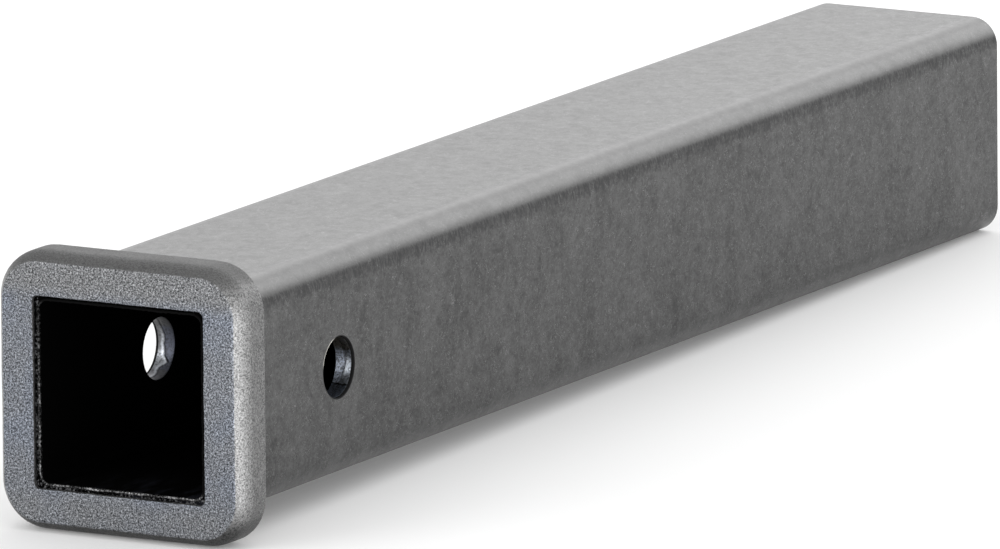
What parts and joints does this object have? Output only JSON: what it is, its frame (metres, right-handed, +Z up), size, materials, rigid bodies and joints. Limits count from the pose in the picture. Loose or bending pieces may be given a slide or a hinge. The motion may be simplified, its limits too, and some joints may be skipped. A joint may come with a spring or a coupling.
{
  "type": "receiver tube",
  "caption": "Square steel receiver tube with a reinforcing collar welded round its mouth and a cross hole for a hitch pin, open from end to end.",
  "frame": {"origin": "centre of the mouth, in the plane of the collar's front face", "axes": "+Y runs down the tube away from the mouth, +Z is up and +X is to the right when looking into the mouth; the pin hole runs along X"},
  "size_m": [0.0784, 0.4572, 0.0784],
  "materials": {
    "tube_steel": "bare rolled steel with thin mottled mill scale",
    "collar_steel": "bare forged steel, blasted to a coarse sparkling grain",
    "weld_steel": "bare rippled weld metal"
  },
  "bodies": {
    "root": {"receiver_tube": "tube_steel", "reinforcing_collar": "collar_steel", "collar_weld": "weld_steel"}
  },
  "joints": []
}
